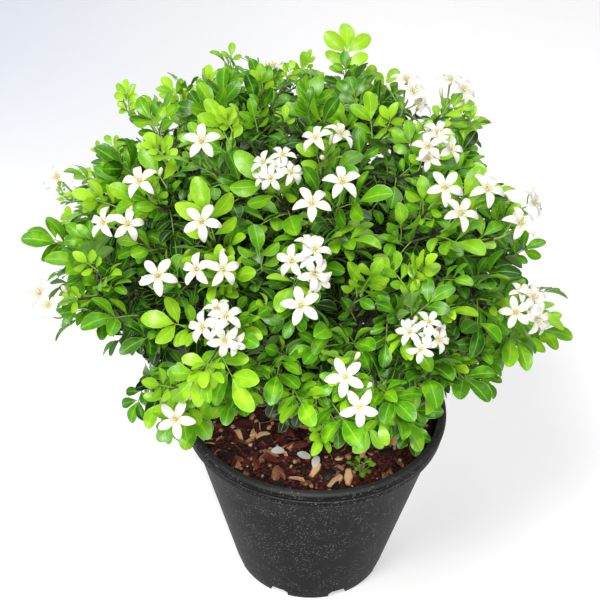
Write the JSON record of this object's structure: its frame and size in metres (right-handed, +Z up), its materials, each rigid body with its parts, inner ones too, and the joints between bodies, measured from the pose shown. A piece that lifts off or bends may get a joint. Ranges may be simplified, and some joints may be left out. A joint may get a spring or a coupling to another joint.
{
  "type": "potted orange jasmine",
  "caption": "Bushy orange jasmine with pinnate leaves and white star flowers on woody stems, growing in a tapered black nursery pot filled with husk mix.",
  "frame": {"origin": "middle of the pot's flat underside, on the pot's own axis", "axes": "+Z up along the pot's axis, front towards -Y, +X to the right seen from the front"},
  "size_m": [0.5176, 0.5036, 0.5627],
  "materials": {
    "pot_plastic": "satin",
    "husk_mix": "matte",
    "bark": "matte",
    "leaf": "satin",
    "petal": "matte"
  },
  "bodies": {
    "root": {"bloom_01": "petal", "bloom_02": "petal", "bloom_03": "petal", "bloom_04": "petal", "bloom_05": "petal", "bloom_06": "petal", "bloom_07": "petal", "bloom_08": "petal", "bloom_09": "petal", "bloom_10": "petal", "bloom_11": "petal", "bloom_12": "petal", "bloom_13": "petal", "bloom_14": "petal", "bloom_15": "petal", "bloom_16": "petal", "bloom_17": "petal", "bloom_18": "petal", "bloom_19": "petal", "bloom_20": "petal", "bloom_21": "petal", "bloom_22": "petal", "bloom_23": "petal", "bloom_24": "petal", "bloom_25": "petal", "bloom_26": "petal", "bloom_27": "petal", "bloom_28": "petal", "bloom_29": "petal", "bloom_30": "petal", "bloom_31": "petal", "growing_mix": "husk_mix", "pot": "pot_plastic", "spray_01": "leaf", "spray_02": "leaf", "spray_03": "leaf", "spray_04": "leaf", "spray_05": "leaf", "spray_06": "leaf", "spray_07": "leaf", "spray_08": "leaf", "spray_09": "leaf", "spray_10": "leaf", "spray_11": "leaf", "spray_12": "leaf", "spray_13": "leaf", "spray_14": "leaf", "spray_15": "leaf", "spray_16": "leaf", "spray_17": "leaf", "spray_18": "leaf", "spray_19": "leaf", "spray_20": "leaf", "spray_21": "leaf", "spray_22": "leaf", "spray_23": "leaf", "woody_stems": "bark"}
  },
  "joints": []
}
